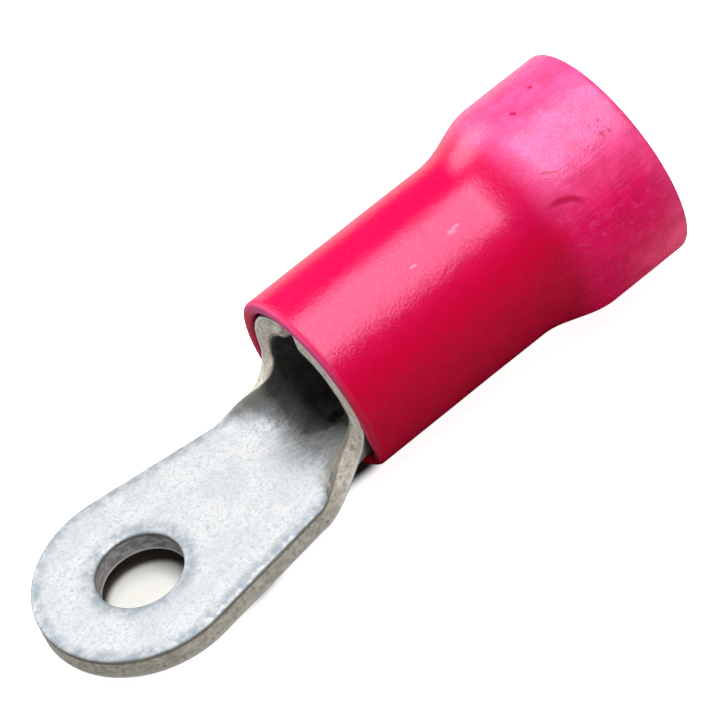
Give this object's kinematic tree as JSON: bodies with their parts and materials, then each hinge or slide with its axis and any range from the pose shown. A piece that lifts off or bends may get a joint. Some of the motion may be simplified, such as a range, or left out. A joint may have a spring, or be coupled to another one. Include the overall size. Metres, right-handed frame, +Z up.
{
  "type": "ring terminal",
  "caption": "Crimp ring terminal: a flat tongue with a stud hole curls up into a rolled wire barrel, covered by a soft red sleeve with a bell mouth.",
  "frame": {"origin": "centre of the stud hole, on the underside of the tongue", "axes": "+Z up along the stud hole, +X along the barrel towards the wire entry"},
  "size_m": [0.0346, 0.0112, 0.0113],
  "materials": {
    "tinned_copper": "matt tin plate",
    "red_vinyl": "satin soft vinyl"
  },
  "bodies": {
    "root": {"tongue_and_barrel": "tinned_copper", "insulating_sleeve": "red_vinyl"}
  },
  "joints": []
}
